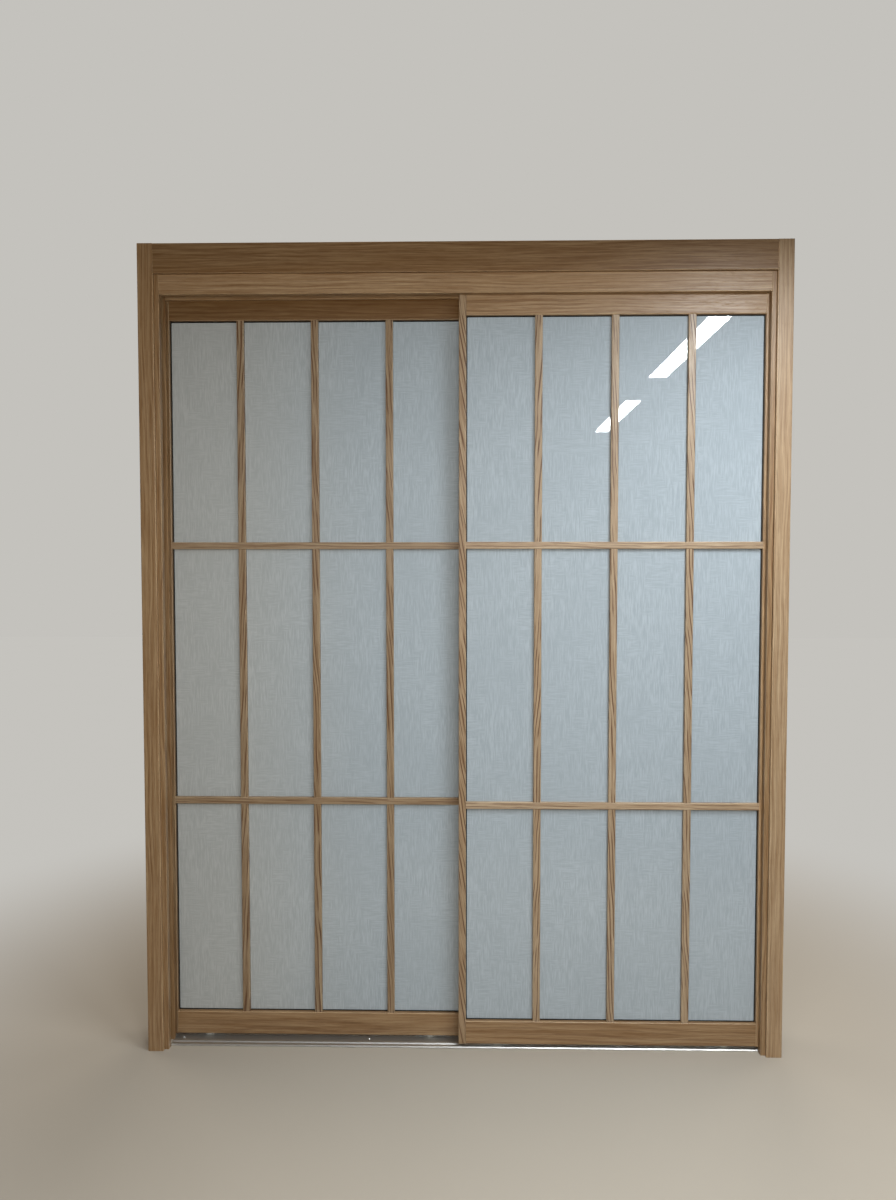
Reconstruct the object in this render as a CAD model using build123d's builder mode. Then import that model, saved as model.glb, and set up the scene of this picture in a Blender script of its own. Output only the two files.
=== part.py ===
from build123d import *
import os

# A pair of glazed lattice sliding panels in a two-lane wooden frame, in millimetres.
# +X is to the right as the front is seen, +Y runs from the front to the back, +Z is up.
# The origin is on the floor, at the middle of the frame.

# Frame: jambs, head and casings
opening_width = 1706
head_underside = 2162
jamb_thickness = 37
lip_thickness = 17
groove_rib = 6.5
jamb_groove_depth = 19
head_thickness = 75
head_channel_depth = 30
casing_width = 44
casing_thickness = 10
header_height = 83
jamb_reveal = 13
header_reveal = 55
casing_round = 2
lip_round = 1.5

# Floor track: an aluminium plate with a vee groove under each panel
track_width = 72
track_height = 5
track_bevel = 2
vee_depth = 3.5
vee_floor = 1
track_screws = 4
track_screw_inset = 28
track_screw_radius = 2.25
track_sink_radius = 4.5

# Panels: stiles, rails and panes
panel_thickness = 30
stile_width = 21
rail_height = 67
floor_gap = 14.5
head_engagement = 11
meeting_overlap = 25
pane_columns = 4
edge_round = 2.5
groove_clearance = 2

# Glass and its gasket
glass_thickness = 5
glass_bite = 7
glazing_groove_depth = 10
gasket_side = 1.5
gasket_sight = 3
gasket_corner = 3

# Lattice bars, laid on both faces of the glass
bar_width = 21
cross_bar_height = 20
bar_setback = 1.5
bar_round = 2
lower_row_height = 632.5
upper_row_height = 645

# Stub tenons of the rails
tenon_length = 12
tenon_thickness = 8
tenon_shoulder = 12
tenon_end_gap = 0.3

# Door rollers
wheel_radius = 18
wheel_width = 8
wheel_bore_gap = 0.05
hub_radius = 5
hub_width = 9
web_width = 5
rim_depth = 6
axle_radius = 2.5
roller_inset = 110
track_gap = 0.3
housing_length = 60
housing_width = 13
housing_wall = 1.5
housing_headroom = 1.5
flange_length = 90
flange_width = 16
flange_thickness = 2
pocket_gap = 0.25

# Guide shoes on the top of each panel
guide_length = 50
guide_height = 6
guide_inset = 75
guide_gap = 0.5
guide_round = 6

# Buffers in the jamb grooves
buffer_radius = 6
buffer_thickness = 5
buffer_inset = 300
rest_gap = 0.3

# Screws
screw_gap = 0.1
small_screw_radius = 1.75
small_head_radius = 3.5
small_screw_length = 16
frame_screw_radius = 2.5
frame_head_radius = 5
frame_screw_length = 75
frame_screw_spread = 60
fixing_radius = 2.5
fixing_sink_radius = 5
fixings = 4
fixing_foot_inset = 250
fixing_head_inset = 112

# Places that follow from the sizes above
half_opening = opening_width / 2
lane_width = panel_thickness + 2 * groove_clearance
lane_pitch = lane_width + groove_rib
jamb_depth = 2 * (lip_thickness + lane_width) + groove_rib
jamb_outer = half_opening + jamb_thickness
groove_bottom = half_opening + jamb_groove_depth
head_top = head_underside + head_thickness
channel_top = head_underside + head_channel_depth
casing_inner = half_opening + jamb_reveal
casing_outer = casing_inner + casing_width
header_underside = head_underside + header_reveal
frame_height = header_underside + header_height
track_screw_pitch = (opening_width - 2 * track_screw_inset) / (track_screws - 1)
buffer_levels = (buffer_inset, head_underside - buffer_inset)
fixing_pitch = (head_underside - fixing_head_inset - fixing_foot_inset) / (fixings - 1)

panel_edge = groove_bottom - buffer_thickness - rest_gap
panel_width = panel_edge + meeting_overlap / 2
panel_middle = panel_edge - panel_width / 2
panel_bottom = floor_gap
panel_top = head_underside + head_engagement
panel_height = panel_top - panel_bottom
stile_offset = (panel_width - stile_width) / 2
pane_pitch = 2 * stile_offset / pane_columns
sight_half = panel_width / 2 - stile_width
sight_bottom = panel_bottom + rail_height
sight_top = panel_top - rail_height
sight_height = sight_top - sight_bottom
sight_middle = (sight_top + sight_bottom) / 2
glazing_groove_width = glass_thickness + 2 * gasket_side
glass_face = glass_thickness / 2
bar_depth = panel_thickness / 2 - glass_face - bar_setback
bar_offsets = [pane_pitch * (i - pane_columns / 2) for i in range(1, pane_columns)]
cross_bar_levels = (sight_bottom + lower_row_height, sight_top - upper_row_height)
tenon_height = rail_height - 2 * tenon_shoulder

vee_half = vee_floor / 2 + vee_depth
vee_lift = track_gap * 2 ** 0.5
axle_level = track_height - vee_depth + vee_lift + wheel_radius
roller_offset = panel_width / 2 - roller_inset
guide_offset = panel_width / 2 - guide_inset
housing_height = axle_level + wheel_radius + housing_headroom + housing_wall - panel_bottom

# Each panel's name, where its middle stands and which lane it runs in
panels = {
    "front": (panel_middle, -lane_pitch / 2),
    "rear": (-panel_middle, lane_pitch / 2),
}
sides = {"left": -1, "right": 1}


def floor_plane(x, y):
    """A level plane on the floor under a panel's middle."""
    return Plane(origin=(x, y, 0))


def face_plane(x, y):
    """An upright plane through a panel, seen from the front, its normal out of the front face."""
    return Plane(origin=(x, y, 0), x_dir=(1, 0, 0), z_dir=(0, -1, 0))


def keep(piece, name):
    """Label a finished piece and write it to its own file."""
    piece.part.label = name
    export_step(piece.part, f"parts/{name}.step")


def outward(point, direction):
    """A plane at a screw's head, its normal away from the tip."""
    return Plane(origin=point, z_dir=-Vector(*direction))


def screw(length, radius, head_radius):
    """A countersunk screw, its flat head at the origin and its tip down."""
    sink = head_radius - radius
    with BuildPart() as piece:
        with BuildSketch(Plane.XZ):
            with BuildLine():
                Polyline(
                    (0, 0),
                    (head_radius, 0),
                    (radius, -sink),
                    (radius, 2 * radius - length),
                    (0, -length),
                    close=True,
                )
            make_face()
        revolve(axis=Axis.Z)
    return piece.part


def cut_screw_hole(mouth, direction, depth, radius, sink_radius):
    """Sink a countersunk hole from a point along a direction."""
    with Locations(outward(mouth, direction)):
        CounterSinkHole(radius, sink_radius, depth=depth, counter_sink_angle=90)


def cut_pilot(mouth, direction, depth):
    """Drill the hole that a small screw turns into."""
    with Locations(outward(mouth, direction)):
        Hole(small_screw_radius + screw_gap, depth=depth + screw_gap)


# Frame

def side_jamb(side):
    """A full-height jamb with one groove for each panel and screw holes in its groove that stands free."""
    with BuildPart() as piece:
        with BuildSketch(Plane.XY):
            with Locations((side * (half_opening + jamb_thickness / 2), 0)):
                Rectangle(jamb_thickness, jamb_depth)
        extrude(amount=head_top)
        lips = piece.edges().filter_by(Axis.Z).sort_by(lambda edge: abs(edge.center().X))[:2]
        fillet(lips, lip_round)
        with BuildSketch(Plane.XY):
            with Locations((side * (half_opening + jamb_groove_depth / 2), 0)):
                with GridLocations(0, lane_pitch, 1, 2):
                    Rectangle(jamb_groove_depth, lane_width)
        extrude(amount=channel_top, mode=Mode.SUBTRACT)
        for y in (-frame_screw_spread / 2, frame_screw_spread / 2):
            head = (side * jamb_outer, y, (channel_top + head_top) / 2)
            cut_screw_hole(
                head,
                (-side, 0, 0),
                jamb_thickness,
                frame_screw_radius + screw_gap,
                frame_head_radius + screw_gap,
            )
        for i in range(fixings):
            mouth = (side * groove_bottom, side * lane_pitch / 2, fixing_foot_inset + i * fixing_pitch)
            cut_screw_hole(
                mouth, (side, 0, 0), jamb_thickness - jamb_groove_depth, fixing_radius, fixing_sink_radius
            )
    return piece


def head_jamb():
    """The head between the jambs, with a deep channel over each lane for lifting a panel out."""
    with BuildPart() as piece:
        with BuildSketch(Plane.YZ.offset(-half_opening)):
            with Locations((0, head_underside + head_thickness / 2)):
                Rectangle(jamb_depth, head_thickness)
            with Locations((0, head_underside + head_channel_depth / 2)):
                with GridLocations(lane_pitch, 0, 2, 1):
                    Rectangle(lane_width, head_channel_depth, mode=Mode.SUBTRACT)
        extrude(amount=opening_width)
        lower = piece.edges().filter_by(Axis.X).group_by(Axis.Z)[0].sort_by(Axis.Y)
        fillet([lower[0], lower[-1]], lip_round)
        depth = frame_screw_length - jamb_thickness + screw_gap
        for side in sides.values():
            for y in (-frame_screw_spread / 2, frame_screw_spread / 2):
                mouth = (side * half_opening, y, (channel_top + head_top) / 2)
                with Locations(Plane(origin=mouth, z_dir=(side, 0, 0))):
                    Hole(frame_screw_radius + screw_gap, depth=depth)
    return piece


def frame_screws():
    """Four long screws through the jambs into the ends of the head."""
    shape = screw(frame_screw_length, frame_screw_radius, frame_head_radius)
    with BuildPart() as piece:
        for side in sides.values():
            for y in (-frame_screw_spread / 2, frame_screw_spread / 2):
                head = (side * jamb_outer, y, (channel_top + head_top) / 2)
                with Locations(outward(head, (-side, 0, 0))):
                    add(shape)
    return piece


def casing(facing, x_low, x_high, z_low, z_high):
    """A flat casing board on the front (1) or back (-1) of the frame, its outer edges eased."""
    with BuildPart() as piece:
        with BuildSketch(face_plane(0, 0).offset(facing * jamb_depth / 2)):
            with Locations(((x_low + x_high) / 2, (z_low + z_high) / 2)):
                Rectangle(x_high - x_low, z_high - z_low)
        extrude(amount=facing * casing_thickness)
        along = Axis.Z if z_high - z_low > x_high - x_low else Axis.X
        outer = 0 if facing > 0 else -1
        fillet(piece.edges().filter_by(along).group_by(Axis.Y)[outer], casing_round)
    return piece


def sill_track():
    """A low aluminium plate on the floor between the jambs, with a vee groove for each panel's wheels."""
    with BuildPart() as piece:
        with BuildSketch(Plane.YZ.offset(-half_opening)):
            with Locations((0, track_height / 2)):
                Rectangle(track_width, track_height)
            for lane in (-lane_pitch / 2, lane_pitch / 2):
                with BuildLine():
                    Polyline(
                        (lane - vee_half, track_height),
                        (lane - vee_floor / 2, track_height - vee_depth),
                        (lane + vee_floor / 2, track_height - vee_depth),
                        (lane + vee_half, track_height),
                        close=True,
                    )
                make_face(mode=Mode.SUBTRACT)
        extrude(amount=opening_width)
        upper = piece.edges().filter_by(Axis.X).group_by(Axis.Z)[-1].sort_by(Axis.Y)
        chamfer([upper[0], upper[-1]], track_bevel)
        for i in range(track_screws):
            mouth = (track_screw_inset - half_opening + i * track_screw_pitch, 0, track_height)
            cut_screw_hole(mouth, (0, 0, -1), track_height, track_screw_radius, track_sink_radius)
    return piece


def jamb_buffers():
    """Rubber buffers at the bottom of each jamb groove, two to a lane."""
    with BuildPart() as piece:
        for side in sides.values():
            seat = Plane(origin=(side * groove_bottom, 0, 0), x_dir=(0, side, 0), z_dir=(-side, 0, 0))
            with BuildSketch(seat):
                with Locations(*[(0, -level) for level in buffer_levels]):
                    with GridLocations(lane_pitch, 0, 2, 1):
                        Circle(buffer_radius)
            extrude(amount=buffer_thickness)
    return piece


# Panel frame

def stile(x, y, side):
    """An upright with its glazing groove and the mortises for both rails."""
    face = face_plane(x, y)
    with BuildPart() as piece:
        with BuildSketch(floor_plane(x, y).offset(panel_bottom)):
            with Locations((side * stile_offset, 0)):
                Rectangle(stile_width, panel_thickness)
        extrude(amount=panel_height)
        fillet(piece.edges().filter_by(Axis.Z), edge_round)
        with BuildSketch(face):
            with Locations((side * (sight_half + glazing_groove_depth / 2), sight_middle)):
                Rectangle(glazing_groove_depth, sight_height + 2 * glazing_groove_depth)
        extrude(amount=glazing_groove_width / 2, both=True, mode=Mode.SUBTRACT)
        mortise_depth = tenon_length + tenon_end_gap
        with BuildSketch(face):
            for middle in (panel_bottom + rail_height / 2, panel_top - rail_height / 2):
                with Locations((side * (sight_half + mortise_depth / 2), middle)):
                    Rectangle(mortise_depth, tenon_height)
        extrude(amount=tenon_thickness / 2, both=True, mode=Mode.SUBTRACT)
    return piece


def plain_rail(x, y, middle, groove_middle):
    """A rail with a stub tenon at each end and the glazing groove along its glass side."""
    face = face_plane(x, y)
    with BuildPart() as piece:
        with BuildSketch(face):
            with Locations((0, middle)):
                Rectangle(2 * sight_half, rail_height)
        extrude(amount=panel_thickness / 2, both=True)
        fillet(piece.edges().filter_by(Axis.X), edge_round)
        with BuildSketch(face):
            with Locations((0, middle)):
                Rectangle(2 * (sight_half + tenon_length), tenon_height)
        extrude(amount=tenon_thickness / 2, both=True)
        with BuildSketch(face):
            with Locations((0, groove_middle)):
                Rectangle(2 * sight_half, glazing_groove_depth)
        extrude(amount=glazing_groove_width / 2, both=True, mode=Mode.SUBTRACT)
    return piece.part


def top_rail(x, y):
    """The head rail, which runs up into the channel."""
    blank = plain_rail(x, y, panel_top - rail_height / 2, sight_top + glazing_groove_depth / 2)
    with BuildPart() as piece:
        add(blank)
        for side in sides.values():
            mouth = (x + side * guide_offset, y, panel_top)
            cut_pilot(mouth, (0, 0, -1), small_screw_length - guide_height)
    return piece


def bottom_rail(x, y):
    """The foot rail, with a pocket let into its underside for each roller."""
    blank = plain_rail(x, y, panel_bottom + rail_height / 2, sight_bottom - glazing_groove_depth / 2)
    underside = floor_plane(x, y).offset(panel_bottom)
    with BuildPart() as piece:
        add(blank)
        for side in sides.values():
            with BuildSketch(underside):
                with Locations((side * roller_offset, 0)):
                    SlotOverall(flange_length + 2 * pocket_gap, flange_width + 2 * pocket_gap)
            extrude(amount=flange_thickness, mode=Mode.SUBTRACT)
            with BuildSketch(underside):
                with Locations((side * roller_offset, 0)):
                    Rectangle(housing_length + 2 * pocket_gap, housing_width + 2 * pocket_gap)
            extrude(amount=housing_height + pocket_gap, mode=Mode.SUBTRACT)
            for head in flange_screw_heads(x, y, side):
                mouth = (head[0], head[1], panel_bottom + flange_thickness)
                cut_pilot(mouth, (0, 0, 1), small_screw_length - flange_thickness)
    return piece


# Glazing

def glass(x, y):
    """The pane, let into the grooves on all four sides."""
    with BuildPart() as piece:
        with BuildSketch(face_plane(x, y)):
            with Locations((0, sight_middle)):
                Rectangle(2 * (sight_half + glass_bite), sight_height + 2 * glass_bite)
        extrude(amount=glass_face, both=True)
    return piece


def gasket(x, y):
    """The glazing rubber: a channel round the edge of the pane, with a thin sight line on each face."""
    face = face_plane(x, y)
    with BuildPart() as piece:
        with BuildSketch(face):
            with Locations((0, sight_middle)):
                Rectangle(2 * (sight_half + glazing_groove_depth), sight_height + 2 * glazing_groove_depth)
                RectangleRounded(
                    2 * (sight_half - gasket_sight),
                    sight_height - 2 * gasket_sight,
                    gasket_corner,
                    mode=Mode.SUBTRACT,
                )
        extrude(amount=glazing_groove_width / 2, both=True)
        with BuildSketch(face):
            with Locations((0, sight_middle)):
                Rectangle(2 * (sight_half + glass_bite), sight_height + 2 * glass_bite)
        extrude(amount=glass_face, both=True, mode=Mode.SUBTRACT)
    return piece


# Lattice

def upright_bar(x, y, offset, facing):
    """A vertical bar on one face of the glass, halved on its outer side under each cross bar."""
    face = face_plane(x, y)
    seat = face.offset(facing * glass_face)
    with BuildPart() as piece:
        with BuildSketch(seat):
            with Locations((offset, sight_middle)):
                Rectangle(bar_width, sight_height)
        extrude(amount=facing * bar_depth)
        outer = 0 if facing > 0 else -1
        fillet(piece.edges().filter_by(Axis.Z).group_by(Axis.Y)[outer], bar_round)
        with BuildSketch(seat.offset(facing * bar_depth)):
            with Locations(*[(offset, level) for level in cross_bar_levels]):
                Rectangle(bar_width, cross_bar_height)
        extrude(amount=-facing * bar_depth / 2, mode=Mode.SUBTRACT)
        with BuildSketch(seat):
            for end in (sight_bottom + gasket_sight / 2, sight_top - gasket_sight / 2):
                with Locations((offset, end)):
                    Rectangle(bar_width, gasket_sight)
        extrude(amount=facing * gasket_side, mode=Mode.SUBTRACT)
    return piece


def cross_bar(x, y, level, facing):
    """A level bar on one face of the glass, halved on its glass side over each vertical bar."""
    face = face_plane(x, y)
    seat = face.offset(facing * glass_face)
    with BuildPart() as piece:
        with BuildSketch(seat):
            with Locations((0, level)):
                Rectangle(2 * sight_half, cross_bar_height)
        extrude(amount=facing * bar_depth)
        outer = 0 if facing > 0 else -1
        fillet(piece.edges().filter_by(Axis.X).group_by(Axis.Y)[outer], bar_round)
        with BuildSketch(seat):
            with Locations(*[(offset, level) for offset in bar_offsets]):
                Rectangle(bar_width, cross_bar_height)
        extrude(amount=facing * bar_depth / 2, mode=Mode.SUBTRACT)
        with BuildSketch(seat):
            for side in sides.values():
                with Locations((side * (sight_half - gasket_sight / 2), level)):
                    Rectangle(gasket_sight, cross_bar_height)
        extrude(amount=facing * gasket_side, mode=Mode.SUBTRACT)
    return piece


# Running gear

def flange_screw_heads(x, y, side):
    """Where the two screws of one roller housing have their heads."""
    reach = (housing_length + flange_length) / 4
    middle = x + side * roller_offset
    return [(middle + end * reach, y, panel_bottom) for end in sides.values()]


def roller_housing(x, y, side):
    """A pressed steel box with a rounded flange, let flush into the underside of the foot rail."""
    underside = floor_plane(x, y).offset(panel_bottom)
    with BuildPart() as piece:
        with BuildSketch(underside):
            with Locations((side * roller_offset, 0)):
                SlotOverall(flange_length, flange_width)
        extrude(amount=flange_thickness)
        with BuildSketch(underside):
            with Locations((side * roller_offset, 0)):
                Rectangle(housing_length, housing_width)
        extrude(amount=housing_height)
        with BuildSketch(underside):
            with Locations((side * roller_offset, 0)):
                Rectangle(housing_length - 2 * housing_wall, housing_width - 2 * housing_wall)
        extrude(amount=housing_height - housing_wall, mode=Mode.SUBTRACT)
        with BuildSketch(face_plane(x, y)):
            with Locations((side * roller_offset, axle_level)):
                Circle(axle_radius + wheel_bore_gap)
        extrude(amount=housing_width, both=True, mode=Mode.SUBTRACT)
        for head in flange_screw_heads(x, y, side):
            cut_screw_hole(
                head,
                (0, 0, 1),
                flange_thickness,
                small_screw_radius + screw_gap,
                small_head_radius + screw_gap,
            )
    return piece


def roller_axles(x, y):
    """The two fixed pins that the wheels turn on."""
    with BuildPart() as piece:
        with BuildSketch(face_plane(x, y)):
            with Locations(*[(side * roller_offset, axle_level) for side in sides.values()]):
                Circle(axle_radius)
        extrude(amount=housing_width / 2, both=True)
    return piece


def roller_wheel(x, y, side):
    """A moulded wheel with a vee rim, a recessed web and a hub bored for its axle."""
    centre = (x + side * roller_offset, y, axle_level)
    half = [
        (hub_width / 2, axle_radius + wheel_bore_gap),
        (hub_width / 2, hub_radius),
        (web_width / 2, hub_radius),
        (web_width / 2, wheel_radius - vee_depth - rim_depth),
        (wheel_width / 2, wheel_radius - vee_depth - rim_depth),
        (wheel_width / 2, wheel_radius - vee_depth),
        (vee_floor / 2, wheel_radius),
    ]
    outline = half + [(-across, out) for across, out in reversed(half)]
    with BuildPart() as piece:
        with BuildSketch(Plane(origin=centre, x_dir=(0, 1, 0), z_dir=(1, 0, 0))):
            with BuildLine():
                Polyline(*outline, close=True)
            make_face()
        revolve(axis=Axis(centre, (0, 1, 0)))
    return piece


def top_guides(x, y):
    """Two nylon shoes on the top of the panel, which keep it upright in the head channel."""
    with BuildPart() as piece:
        with BuildSketch(floor_plane(x, y).offset(panel_top)):
            with Locations(*[(side * guide_offset, 0) for side in sides.values()]):
                RectangleRounded(guide_length, lane_width - 2 * guide_gap, guide_round)
        extrude(amount=guide_height)
        for side in sides.values():
            mouth = (x + side * guide_offset, y, panel_top + guide_height)
            cut_screw_hole(
                mouth,
                (0, 0, -1),
                guide_height,
                small_screw_radius + screw_gap,
                small_head_radius + screw_gap,
            )
    return piece


def panel_screws(x, y):
    """The screws of one panel: two to each roller housing and one to each guide shoe."""
    shape = screw(small_screw_length, small_screw_radius, small_head_radius)
    with BuildPart() as piece:
        for side in sides.values():
            for head in flange_screw_heads(x, y, side):
                with Locations(outward(head, (0, 0, 1))):
                    add(shape)
            head = (x + side * guide_offset, y, panel_top + guide_height)
            with Locations(outward(head, (0, 0, -1))):
                add(shape)
    return piece


# Build everything

os.makedirs("parts", exist_ok=True)

for side_name, side in sides.items():
    keep(side_jamb(side), f"{side_name}_jamb")
    for facing_name, facing in {"front": 1, "back": -1}.items():
        inner, outer = sorted((side * casing_inner, side * casing_outer))
        keep(casing(facing, inner, outer, 0, frame_height), f"{facing_name}_{side_name}_casing")
for facing_name, facing in {"front": 1, "back": -1}.items():
    header = casing(facing, -casing_inner, casing_inner, header_underside, frame_height)
    keep(header, f"{facing_name}_header_casing")
keep(head_jamb(), "head_jamb")
keep(frame_screws(), "frame_screws")
keep(sill_track(), "sill_track")
keep(jamb_buffers(), "jamb_buffers")

for panel_name, (x, y) in panels.items():
    for side_name, side in sides.items():
        keep(stile(x, y, side), f"{panel_name}_{side_name}_stile")
        keep(roller_housing(x, y, side), f"{panel_name}_{side_name}_roller_housing")
        keep(roller_wheel(x, y, side), f"{panel_name}_{side_name}_roller_wheel")
    keep(top_rail(x, y), f"{panel_name}_top_rail")
    keep(bottom_rail(x, y), f"{panel_name}_bottom_rail")
    keep(glass(x, y), f"{panel_name}_glass")
    keep(gasket(x, y), f"{panel_name}_gasket")
    keep(roller_axles(x, y), f"{panel_name}_roller_axles")
    keep(top_guides(x, y), f"{panel_name}_top_guides")
    keep(panel_screws(x, y), f"{panel_name}_panel_screws")
    for facing_name, facing in {"outer": 1, "inner": -1}.items():
        for number, offset in enumerate(bar_offsets, start=1):
            keep(upright_bar(x, y, offset, facing), f"{panel_name}_{facing_name}_upright_bar_{number}")
        for number, level in enumerate(cross_bar_levels, start=1):
            keep(cross_bar(x, y, level, facing), f"{panel_name}_{facing_name}_cross_bar_{number}")
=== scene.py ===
import math
import bmesh
import bpy
from mathutils import Matrix, Vector


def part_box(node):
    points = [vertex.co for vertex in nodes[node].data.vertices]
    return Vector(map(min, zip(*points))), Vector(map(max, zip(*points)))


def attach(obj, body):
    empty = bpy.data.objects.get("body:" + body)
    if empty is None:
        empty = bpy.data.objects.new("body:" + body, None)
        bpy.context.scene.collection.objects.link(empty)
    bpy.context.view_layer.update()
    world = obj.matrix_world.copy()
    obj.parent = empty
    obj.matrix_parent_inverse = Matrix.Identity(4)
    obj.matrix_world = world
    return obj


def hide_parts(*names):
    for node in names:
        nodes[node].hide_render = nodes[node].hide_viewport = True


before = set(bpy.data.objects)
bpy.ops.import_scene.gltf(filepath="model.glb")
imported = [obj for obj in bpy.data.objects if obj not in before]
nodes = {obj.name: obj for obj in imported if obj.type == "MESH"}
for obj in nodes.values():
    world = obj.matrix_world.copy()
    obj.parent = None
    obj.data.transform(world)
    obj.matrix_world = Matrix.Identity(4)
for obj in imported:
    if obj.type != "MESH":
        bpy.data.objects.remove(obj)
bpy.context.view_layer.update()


# Side jambs and head
# Three solid boards of brushed oak under a satin lacquer, planed and grooved for the panels.
# The head stands between the jambs and is screwed through them from outside.

class Wire:
    """A node's output. Sums on it add Math nodes to its board."""

    def __init__(self, board, socket):
        self.board, self.socket = board, socket

    def out(self, name):
        """Another output of the same node."""
        return Wire(self.board, self.socket.node.outputs[name])

    def step(self, low, high):
        """From 0 at low to 1 at high, eased at both ends."""
        return self.board.node(
            "ShaderNodeMapRange",
            {"interpolation_type": "SMOOTHSTEP"},
            {"Value": self, "From Min": low, "From Max": high},
        )

    def __add__(self, other):
        return self.board.maths("ADD", self, other)

    __radd__ = __add__

    def __sub__(self, other):
        return self.board.maths("SUBTRACT", self, other)

    def __rsub__(self, other):
        return self.board.maths("SUBTRACT", other, self)

    def __mul__(self, other):
        return self.board.maths("MULTIPLY", self, other)

    __rmul__ = __mul__

    def __pow__(self, power):
        return self.board.maths("POWER", self, power)

    def __abs__(self):
        return self.board.maths("ABSOLUTE", self)


class NodeBoard:
    """A node tree whose nodes are laid down one call at a time."""

    def __init__(self, tree):
        self.tree = tree

    def node(self, kind, settings=None, inputs=None, output=0):
        """Any node: its settings first, then the values or links of its sockets."""
        made = self.tree.nodes.new(kind)
        for name, value in (settings or {}).items():
            setattr(made, name, value)
        for name, value in (inputs or {}).items():
            self.feed(made.inputs[name], value)
        return Wire(self, made.outputs[output])

    def feed(self, socket, value):
        """Link a wire to a socket, or set the socket to a plain value."""
        if isinstance(value, Wire):
            self.tree.links.new(value.socket, socket)
        else:
            socket.default_value = value

    def maths(self, operation, *values):
        return self.node("ShaderNodeMath", {"operation": operation}, dict(enumerate(values)))


class Finish(NodeBoard):
    """A material on a Principled surface, with its place on the object as x, y and z."""

    sockets = {
        "colour": "Base Color",
        "roughness": "Roughness",
        "metallic": "Metallic",
        "normal": "Normal",
        "specular": "Specular IOR Level",
        "coat": "Coat Weight",
        "coat_roughness": "Coat Roughness",
        "glow": "Emission Color",
        "glow_strength": "Emission Strength",
    }

    def __init__(self, name):
        self.material = bpy.data.materials.new(name)
        self.material.use_nodes = True
        super().__init__(self.material.node_tree)
        self.shader = self.tree.nodes["Principled BSDF"]
        self.x, self.y, self.z = self.split(self.node("ShaderNodeTexCoord").out("Object"))

    def split(self, vector):
        """The three parts of a vector."""
        parts = self.node("ShaderNodeSeparateXYZ", inputs={0: vector})
        return parts, parts.out("Y"), parts.out("Z")

    def noise(self, x, y, z, detail=2.0, roughness=0.5):
        """Soft noise, about one cell for each unit of the three values."""
        place = self.node("ShaderNodeCombineXYZ", inputs={0: x, 1: y, 2: z})
        return self.node(
            "ShaderNodeTexNoise",
            inputs={"Vector": place, "Scale": 1.0, "Detail": detail, "Roughness": roughness},
        )

    def even_noise(self, cells, detail=2.0):
        """Soft noise of the same grain each way, in cells per metre."""
        return self.noise(self.x * cells, self.y * cells, self.z * cells, detail)

    def mix(self, amount, first, second):
        """Two colours, mixed by an amount from 0 to 1."""
        inputs = {0: amount, 6: first, 7: second}
        return self.node("ShaderNodeMix", {"data_type": "RGBA"}, inputs, output=2)

    def edges(self):
        """1 on an eased edge, where the surface turns to the next flat face, and 0 on flats."""
        normal = self.split(self.node("ShaderNodeTexCoord").out("Normal"))
        across, deep, up = (abs(part) for part in normal)
        flat = self.maths("MAXIMUM", self.maths("MAXIMUM", across, deep), up)
        return 1 - flat.step(0.8, 0.99)

    def bump(self, height, strength, distance):
        inputs = {"Height": height, "Strength": strength, "Distance": distance}
        return self.node("ShaderNodeBump", inputs=inputs)

    def surface(self, **sockets):
        """Set or link the sockets of the surface, and give back the material."""
        for name, value in sockets.items():
            self.feed(self.shader.inputs[self.sockets[name]], value)
        return self.material


def tint(red, green, blue):
    """A colour as the eye reads it, from 0 to 255, as the linear colour that a shader takes."""
    return tuple(((c / 255 + 0.055) / 1.055) ** 2.4 for c in (red, green, blue)) + (1.0,)


def dress(name, material):
    """Give a solid its finish."""
    for slot in nodes[name].material_slots:
        slot.material = material


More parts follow.
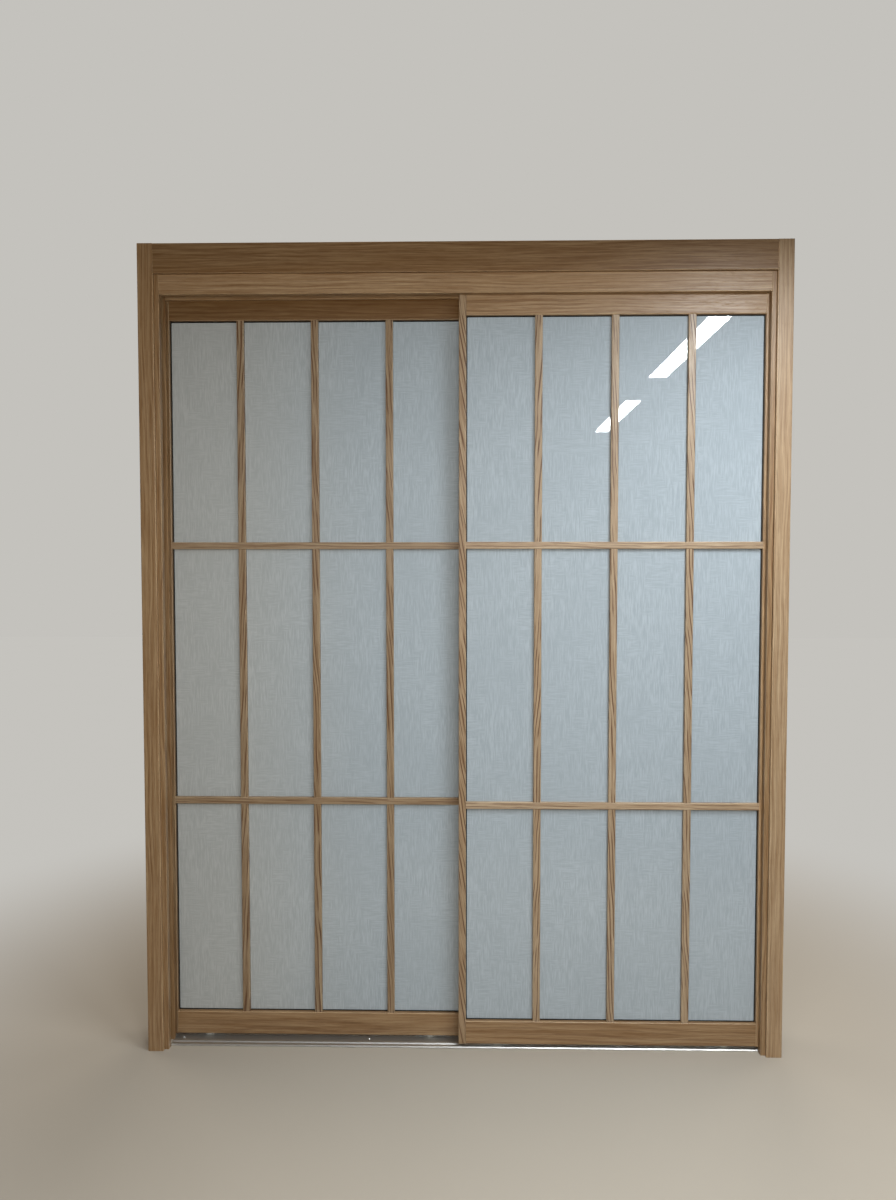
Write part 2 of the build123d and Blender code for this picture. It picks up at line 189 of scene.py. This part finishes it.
def oak(name, along, cut, slope=0.0, painted_shading=0.0, figure=1.0, veins=0.25, painted_cool_sheen=0.0):
    """Give a board its oak: rings about a pith beside it, streaks, open pores and paler edges.

    along is the board's length, cut picks its place in the tree, slope slants the grain across
    it, shade darkens it as painted shading and lightens it as painted light below zero, figure
    is how strong its rings are, veins is how dark its late wood shows, and bleach takes its red
    down and its blue up, as a painted cool sheen from the lamps.
    """
    wood = Finish(f"oak_{name}")
    length, width = (wood.z, wood.x) if along == "z" else (wood.x, wood.z)
    length = length + cut * 3.7
    wander = wood.noise(length * (1.9 + 3 * veins), cut * 7.3, cut * 1.1, detail=1.0) - 0.5
    width = width + slope * length + wander * 0.02
    depth = wood.y + cut * 0.61

    def fibres(cells_across, cells_along, detail=2.0, roughness=0.5):
        """Noise drawn out along the board, in cells per metre."""
        return wood.noise(
            width * cells_across, depth * cells_across, length * cells_along, detail, roughness
        )

    def colour_with_painted_light(red, green, blue):
        """A colour of the wood, with the board's painted shading and painted cool sheen added."""
        return tint(red - painted_shading - painted_cool_sheen, green - painted_shading, blue - painted_shading + painted_cool_sheen)

    rings_per_metre = 74
    drift = fibres(16, 1.7) - 0.5
    pith_across = width - (0.11 * math.sin(cut * 12.9) - 0.02)
    pith_deep = wood.y - 0.07 - 0.05 * math.cos(cut * 7.7) + length * 0.014
    from_pith = (pith_across * pith_across + pith_deep * pith_deep) ** 0.5
    ring = (from_pith + drift * 0.03 * figure) * rings_per_metre
    late = abs(wood.maths("FRACT", ring) - 0.5) * 2

    streaks = fibres(290, 6.8, detail=4.0, roughness=0.68)
    ribbons = fibres(120, 2.6)
    silk = fibres(900, 26)
    pores = fibres(1900, 46, detail=1.0).step(0.62, 0.72)
    cloud = fibres(12, 1.1)

    thin = ring * 1.5 + streaks * 0.5
    vein = 1 - abs(wood.maths("FRACT", thin) - 0.5).step(0.07, 0.23)
    broken = wood.noise(width * 60, cut * 2.9, length * 7).step(0.4, 0.52)

    grain = streaks * 0.62 + ribbons * 0.13 + late * 0.07 * figure + silk * 0.24 - 0.03
    pale = grain.step(0.32, 0.71)
    colour = wood.mix(pale, colour_with_painted_light(134, 99, 63), colour_with_painted_light(188, 160, 125))
    colour = wood.mix(cloud.step(0.3, 0.72) * 0.45, colour, colour_with_painted_light(160, 125, 86))
    colour = wood.mix(vein * broken * veins, colour, tint(92, 60, 34))
    colour = wood.mix(pores * 0.4, colour, tint(92, 64, 38))
    colour = wood.mix(wood.edges() * 0.4, colour, tint(212, 184, 146))
    relief = silk * 0.35 + streaks * 0.4 - pores * 0.8
    dress(name, wood.surface(
        colour=colour,
        roughness=0.46 - pale * 0.08 + pores * 0.2,
        normal=wood.bump(relief, 0.3, 0.0005),
        specular=0.65,
    ))


# The side jambs are darkened all over: painted shading for their shadowed grooves.
for side, cut in {"left": 0.31, "right": 0.71}.items():
    oak(f"{side}_jamb", "z", cut, painted_shading=18, figure=1.3)
oak("head_jamb", "x", 0.83, figure=1.2)


# Frame screws
# Four countersunk zinc-plated steel screws, rolled thread and pressed cross recess.
# They hold the jambs to the ends of the head, two on each side.

def zinc(name):
    """Bright zinc on steel: small spangles, cloudy polish and duller scratches."""
    metal = Finish(name)
    spangle = metal.even_noise(420, detail=3.0)
    cloud = metal.even_noise(60)
    scratch = metal.noise(metal.x * 90, metal.y * 1600, metal.z * 1600, detail=1.0).step(0.6, 0.75)
    colour = metal.mix(spangle.step(0.35, 0.7), tint(150, 154, 158), tint(206, 208, 210))
    return metal.surface(
        colour=metal.mix(cloud * 0.3, colour, tint(168, 164, 150)),
        metallic=0.95,
        roughness=0.26 + cloud * 0.2 + scratch * 0.15,
        normal=metal.bump(spangle + scratch, 0.2, 0.0002),
    )


def screw_mesh(name, length, radius, head_radius, pitch, thread_start):
    """A countersunk screw down -Z: cross recess, plain shank, rolled thread and point."""
    mesh = bmesh.new()
    around, steps_per_turn, shank_steps = 24, 6, 3
    thread_root = 0.76
    sink = head_radius - radius
    rings = [(0.0, head_radius), (-0.25 * sink, head_radius * 0.97), (-sink, radius)]
    for i in range(1, shank_steps + 1):
        rings.append((-sink - (thread_start - sink) * i / shank_steps, radius))
    threaded_length = length - 2 * radius - thread_start
    for i in range(1, int(threaded_length / pitch * steps_per_turn) + 1):
        rings.append((-thread_start - pitch * i / steps_per_turn, None))

    loops = []
    for level, plain_radius in rings:
        loop = []
        for i in range(around):
            turn = i / around
            crest = abs(((-level / pitch - turn) % 1.0) * 2 - 1)
            reach = plain_radius or radius * (thread_root + (1 - thread_root) * crest)
            angle = turn * math.tau
            loop.append(mesh.verts.new((reach * math.cos(angle), reach * math.sin(angle), level)))
        loops.append(loop)
    for upper, lower in zip(loops, loops[1:]):
        for i in range(around):
            j = (i + 1) % around
            mesh.faces.new((upper[i], lower[i], lower[j], upper[j]))
    tip = mesh.verts.new((0, 0, -length))
    for i in range(around):
        mesh.faces.new((loops[-1][i], tip, loops[-1][(i + 1) % around]))

    arm, half = head_radius * 0.6, head_radius * 0.13
    cross = []
    for quarter in range(4):
        c, s = math.cos(quarter * math.pi / 2), math.sin(quarter * math.pi / 2)
        cross.append((c * arm + s * half, s * arm - c * half))
        cross.append((c * arm - s * half, s * arm + c * half))
        cross.append((c * half - s * half, s * half + c * half))
    corners = len(cross)
    recess_taper, recess_depth = 0.55, sink * 0.8
    rim = [mesh.verts.new((x, y, 0)) for x, y in cross]
    base = [mesh.verts.new((x * recess_taper, y * recess_taper, -recess_depth)) for x, y in cross]
    inner = [mesh.edges.new((rim[i], rim[(i + 1) % corners])) for i in range(corners)]
    outer = [mesh.edges.get((loops[0][i], loops[0][(i + 1) % around])) for i in range(around)]
    bmesh.ops.triangle_fill(mesh, edges=inner + outer, use_beauty=True)
    for i in range(corners):
        j = (i + 1) % corners
        mesh.faces.new((rim[i], rim[j], base[j], base[i]))
    mesh.faces.new(base)

    bmesh.ops.recalc_face_normals(mesh, faces=mesh.faces)
    made = bpy.data.meshes.new(name)
    mesh.to_mesh(made)
    mesh.free()
    return made


def fit_screws(name, body, heads, shape, plain_screws):
    """Like screws as one piece that stands for the plain ones, each given by its head and way."""
    joined = bmesh.new()
    for place, way in heads:
        start = len(joined.verts)
        joined.from_mesh(shape)
        joined.verts.ensure_lookup_table()
        turned = Vector((0, 0, -1)).rotation_difference(Vector(way)).to_matrix().to_4x4()
        moved = Matrix.Translation(place) @ turned
        for vert in joined.verts[start:]:
            vert.co = moved @ vert.co
    mesh = bpy.data.meshes.new(name)
    joined.to_mesh(mesh)
    joined.free()
    mesh.materials.append(steel_finish)
    piece = bpy.data.objects.new(name, mesh)
    bpy.context.scene.collection.objects.link(piece)
    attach(piece, body)
    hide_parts(plain_screws)


steel_finish = zinc("zinc_plate")
frame_screw = screw_mesh(
    "frame_screw", length=0.075, radius=0.0025, head_radius=0.005, pitch=0.0024, thread_start=0.03
)
half_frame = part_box("right_jamb")[1].x
screw_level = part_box("head_jamb")[1].z - 0.0225
half_spread = 0.03
heads = [
    (Vector((side * half_frame, y, screw_level)), (-side, 0, 0))
    for side in (-1, 1)
    for y in (-half_spread, half_spread)
]
fit_screws("threaded_frame_screws", "frame", heads, frame_screw, "frame_screws")


# Casing boards
# Flat oak boards pinned over the outer edges of the frame, a header between two legs on each face.
# Their outer edges are eased by hand, and each board keeps its own grain.

# The left legs are darkened as painted shading, away from the lamps; the right legs are lightened
# and cooled as painted light and a painted cool sheen from the strip lamps; the headers are
# darkened most, as painted shading high up.
for facing, cut, header_cut in (("front", 1.27, 3.19), ("back", 2.33, 3.66)):
    oak(f"{facing}_left_casing", "z", cut, painted_shading=13, figure=1.6)
    oak(f"{facing}_right_casing", "z", cut + 0.53, painted_shading=-4, figure=1.6, painted_cool_sheen=3)
    oak(f"{facing}_header_casing", "x", header_cut, painted_shading=32, figure=1.4)


# Sill track
# A drawn aluminium plate with a vee groove for each panel's wheels, brushed and anodised.
# It is screwed to the floor between the jambs.

def aluminium(name):
    """Brushed and anodised: hair lines along the plate, with a painted highlight on its edges."""
    metal = Finish(name)
    hair = metal.noise(metal.x * 9, metal.y * 2600, metal.z * 2600)
    wear = metal.noise(metal.x * 26, metal.y * 160, metal.z * 90, detail=3.0)
    colour = metal.mix(hair.step(0.3, 0.7), tint(188, 186, 180), tint(226, 224, 219))
    colour = metal.mix(wear.step(0.55, 0.75) * 0.35, colour, tint(158, 155, 149))
    return metal.surface(
        # Eased edges are mixed towards near-white: a painted highlight, where they mirror the
        # lamps.
        colour=metal.mix(metal.edges() * 0.6, colour, tint(244, 242, 238)),
        metallic=0.9,
        roughness=0.3 + hair * 0.12 + wear * 0.1,
        normal=metal.bump(hair, 0.25, 0.0002),
    )


dress("sill_track", aluminium("brushed_aluminium"))


# Jamb buffers
# Black rubber buttons pressed into the grooves of the jambs, where the panels come to rest.
# Moulded, with a dull bloom on the face.

def rubber(name):
    """Moulded black rubber with a fine pebble and a little dust."""
    moulding = Finish(name)
    pebble = moulding.even_noise(1500)
    dust = moulding.even_noise(40, detail=4.0).step(0.45, 0.8)
    colour = moulding.mix(pebble.step(0.3, 0.7), tint(20, 20, 21), tint(34, 34, 35))
    return moulding.surface(
        colour=moulding.mix(dust * 0.25, colour, tint(78, 76, 72)),
        roughness=0.55 + pebble * 0.2 + dust * 0.1,
        normal=moulding.bump(pebble, 0.3, 0.0003),
    )


rubber_finish = rubber("black_rubber_bloom")
dress("jamb_buffers", rubber_finish)


# Stiles and rails
# The oak frame of each panel, mortised at the corners with stub tenons and grooved for the pane.
# The front panel's left stile was sawn across the grain, so its figure slants like a rope.

# The rear left stile is darkened as painted shadow under the head, and both left stiles are cooled
# as a painted cool sheen. The top rails are darkened as painted shadow of the head, the rear one
# most, and the bottom rails as painted shading low down.
oak("front_left_stile", "z", 5.11, slope=0.17, veins=1.0, painted_cool_sheen=6)
oak("rear_left_stile", "z", 7.41, slope=0.03, painted_shading=36, veins=0.4, painted_cool_sheen=6)
for panel, cut, top_painted_shading in (("front", 5.11, 8), ("rear", 7.41, 48)):
    oak(f"{panel}_right_stile", "z", cut + 0.37, slope=0.03)
    oak(f"{panel}_top_rail", "x", cut + 0.71, painted_shading=top_painted_shading, figure=1.5)
    oak(f"{panel}_bottom_rail", "x", cut + 1.13, painted_shading=18, figure=1.4)


# Panes
# Each pane is one sheet of white laminated glass, a layer of paper fibres between two clear faces.
# The faces are polished, so lamps show in them sharply while the fibres stay soft.

def paper_glass(name, painted_warmth):
    """Short paper strands that run up or across in patches, with a few long loose fibres.

    warmth is how much warm light is painted into the pane towards its left side.
    """
    pane = Finish(name)
    patch = pane.noise(pane.x * 22, pane.z * 18, 0.4, detail=3.0).step(0.46, 0.6)
    upright = pane.noise(pane.x * 400, pane.z * 26, 1.7, roughness=0.6).step(0.4, 0.64)
    level = pane.noise(pane.x * 26, pane.z * 400, 5.2, roughness=0.6).step(0.4, 0.64)
    strands = upright * (1 - patch * 0.8) + level * patch * 0.8
    curl = pane.noise(pane.x * 17, pane.z * 13, 8.1)
    fibre = 1 - abs(curl - 0.5).step(0.0, 0.01)
    pulp = pane.noise(pane.x * 5, pane.z * 4, 2.2, detail=3.0)
    # Towards the left the colours are mixed warmer: painted warm light falling on the pane.
    painted_warm_light = (1 - pane.x.step(-0.75, -0.2)) * painted_warmth
    between = pane.mix(painted_warm_light, tint(161, 171, 178), tint(168, 171, 170))
    strand = pane.mix(painted_warm_light, tint(176, 186, 193), tint(182, 185, 184))
    colour = pane.mix(strands, between, strand)
    colour = pane.mix(pulp.step(0.35, 0.7) * 0.3, colour, between)
    colour = pane.mix(fibre * 0.06, colour, tint(202, 208, 212))
    return pane.surface(
        colour=colour,
        roughness=0.5 + strands * 0.2,
        normal=pane.bump(strands + fibre * 0.3, 0.05, 0.0003),
        specular=0.1,
        coat=1.0,
        coat_roughness=0.015,
    )


for panel, painted_warmth in {"front": 0.0, "rear": 1.0}.items():
    dress(f"{panel}_glass", paper_glass(f"paper_glass_{panel}", painted_warmth))


# Glazing rubbers
# An extruded black channel round the edge of each pane, pressed into the groove of the oak frame.
# Only its thin lip shows, as a dark line round the glass.

panels = ("front", "rear")
for panel in panels:
    dress(f"{panel}_gasket", rubber_finish)


# Lattice bars
# Slim oak bars on both faces of the pane, halved into each other where they cross.
# They are ripped from offcuts, so the grain of the uprights slants from edge to edge.

slants = {1: -0.055, 2: 0.05, 3: 0.075}
faces = {"outer": (0.0, 1.0), "inner": (2.1, -0.6)}
# The front bars are lightened, the cross bars most, as painted light and a painted highlight on
# their upper edges; the rear bars are darkened as painted shading behind the front panel. All bars
# are cooled as a painted cool sheen.
for panel, cut, upright_painted_shading, cross_painted_shading in (("front", 11.3, -11, -19), ("rear", 16.2, 9, 5)):
    for face, (further, turn) in faces.items():
        start = cut + further
        for place, slant in slants.items():
            bar = f"{panel}_{face}_upright_bar_{place}"
            grain = {"slope": slant * turn, "painted_shading": upright_painted_shading, "veins": 0.95, "painted_cool_sheen": 8}
            oak(bar, "z", start + 0.61 * place, **grain)
        for place in (1, 2):
            bar = f"{panel}_{face}_cross_bar_{place}"
            grain = {"slope": 0.01, "painted_shading": cross_painted_shading, "veins": 0.6, "painted_cool_sheen": 8}
            oak(bar, "x", start + 2.7 + 0.43 * place, figure=0.8, **grain)


# Roller housings and axle pins
# Pressed and zinc-plated steel boxes, let flush into the underside of each bottom rail.
# A turned pin through each box carries the wheel.

sides = ("left", "right")
for panel in panels:
    for side in sides:
        dress(f"{panel}_{side}_roller_housing", steel_finish)
    dress(f"{panel}_roller_axles", steel_finish)


# Roller wheels and guide shoes
# Moulded white nylon: wheels with a vee rim below, and shoes on top that run in the head channel.
# The surface is satin, with faint flow marks from the mould.

def nylon(name):
    """White nylon with cloudy flow marks and a fine satin grain."""
    plastic = Finish(name)
    flow = plastic.even_noise(70, detail=3.0)
    satin = plastic.even_noise(1300)
    return plastic.surface(
        colour=plastic.mix(flow.step(0.35, 0.7), tint(222, 220, 212), tint(238, 237, 231)),
        roughness=0.38 + flow * 0.12,
        normal=plastic.bump(satin, 0.15, 0.0002),
    )


nylon_finish = nylon("satin_nylon")
for panel in panels:
    dress(f"{panel}_top_guides", nylon_finish)
    for side in sides:
        dress(f"{panel}_{side}_roller_wheel", nylon_finish)


# Panel screws
# Short countersunk screws of the same make as the frame's.
# Two hold each roller housing and one holds each guide shoe.

panel_screw = screw_mesh(
    "panel_screw", length=0.016, radius=0.00175, head_radius=0.0035, pitch=0.0012,
    thread_start=0.004,
)
housing_screw_reach = 0.0375
half_shoe = 0.025
for panel in panels:
    heads = []
    for side in sides:
        low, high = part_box(f"{panel}_{side}_roller_housing")
        middle = (low + high) / 2
        for reach in (-housing_screw_reach, housing_screw_reach):
            heads.append((Vector((middle.x + reach, middle.y, low.z)), (0, 0, 1)))
    low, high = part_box(f"{panel}_top_guides")
    for x in (low.x + half_shoe, high.x - half_shoe):
        heads.append((Vector((x, (low.y + high.y) / 2, high.z)), (0, 0, -1)))
    piece = f"{panel}_threaded_screws"
    fit_screws(piece, f"{panel}_panel", heads, panel_screw, f"{panel}_panel_screws")


# Floor
# A plain pale floor, so that the frame stands on something. It isn't part of the object.

backdrop = tint(196, 194, 189)
black = (0.0, 0.0, 0.0, 1.0)


def pale_floor():
    """Plain pale ground with a barely uneven polish, which fades into the backdrop far off."""
    ground = Finish("pale_floor")
    cloud = ground.noise(ground.x * 1.3, ground.y * 1.3, 0.0, detail=3.0)
    far = ((ground.x * ground.x + ground.y * ground.y) ** 0.5).step(1.0, 2.6)
    seen = ground.node("ShaderNodeLightPath").out("Is Camera Ray")
    near_colour = ground.mix(cloud, tint(178, 169, 156), tint(184, 175, 162))
    return ground.surface(
        colour=ground.mix(far, near_colour, black),
        roughness=0.6 + cloud * 0.1,
        specular=0.2,
        glow=ground.mix(far * seen, black, backdrop),
        glow_strength=1.0,
    )


half_floor = 14
floor_mesh = bpy.data.meshes.new("floor")
corners = ((-1, -1), (1, -1), (1, 1), (-1, 1))
verts = [(x * half_floor, y * half_floor, 0) for x, y in corners]
floor_mesh.from_pydata(verts, [], [(0, 1, 2, 3)])
floor_mesh.materials.append(pale_floor())
floor = bpy.data.objects.new("floor", floor_mesh)
bpy.context.scene.collection.objects.link(floor)


# Lamps
# Two strip lamps in a line, high on the right, give the light and two streaks in the front pane.
# Two wide soft lamps fill the front, and others light the back, the sides and the top.

def lamp(name, size, place, towards, power, colour, mirrored=False):
    """A rectangular lamp. Only a mirrored one shows in polished faces."""
    light = bpy.data.lights.new(name, "AREA")
    light.shape = "RECTANGLE"
    light.size, light.size_y = size
    light.energy = power
    light.color = colour
    holder = bpy.data.objects.new(name, light)
    holder.location = place
    holder.rotation_euler = (Vector(towards) - Vector(place)).to_track_quat("-Z", "Y").to_euler()
    holder.visible_glossy = mirrored
    bpy.context.scene.collection.objects.link(holder)


cool, mild, warm = (0.9, 0.96, 1.0), (1.0, 0.96, 0.89), (1.0, 0.94, 0.86)
strip_x, strip_z = 0.945, 2.32
for name, y in {"near_strip_lamp": -1.23, "far_strip_lamp": -2.89}.items():
    lamp(name, (0.085, 1.08), (strip_x, y, strip_z), (strip_x, y, 0.0), 36, cool, mirrored=True)
lamp("middle_fill", (1.2, 0.9), (-0.2, -2.1, 1.6), (-0.2, 0.0, 1.5), 22, mild)
lamp("soft_fill", (3.0, 2.0), (-0.8, -4.6, 1.9), (0.0, 0.0, 1.3), 2, warm)
lamp("back_fill", (3.0, 2.0), (0.8, 4.4, 2.4), (0.0, 0.0, 1.1), 90, warm)
lamp("top_fill", (1.5, 1.5), (0.0, 0.3, 4.0), (0.0, 0.0, 0.0), 20, warm)
for name, x in {"left_side_fill": -3.6, "right_side_fill": 3.6}.items():
    lamp(name, (2.0, 2.0), (x, 1.6, 1.9), (x * 0.25, 0.0, 0.9), 32, warm)

world = bpy.data.worlds.new("studio")
bpy.context.scene.world = world
world.use_nodes = True
world.node_tree.nodes.remove(world.node_tree.nodes["Background"])
air = NodeBoard(world.node_tree)
glow_inputs = {"Color": (1.0, 0.94, 0.87, 1.0), "Strength": 0.08}
glow = air.node("ShaderNodeBackground", inputs=glow_inputs)
shown = air.node("ShaderNodeBackground", inputs={"Color": backdrop})
seen = air.node("ShaderNodeLightPath").out("Is Camera Ray")
sky = air.node("ShaderNodeMixShader", inputs={0: seen, 1: glow, 2: shown})
air.feed(air.tree.nodes["World Output"].inputs["Surface"], sky)


# Camera
# The photograph's viewpoint: 2.4 metres from the frame and 1.4 metres up, looking slightly down.

tilt_down, turn_left = 0.0406, 0.0184
eye = bpy.data.cameras.new("eye")
eye.lens = 25.19
camera = bpy.data.objects.new("camera", eye)
camera.location = (0.0009, -2.4227, 1.4027)
camera.rotation_euler = (math.radians(90) - tilt_down, 0.0, turn_left)
bpy.context.scene.collection.objects.link(camera)
bpy.context.scene.camera = camera
bpy.context.scene.view_settings.view_transform = "Standard"
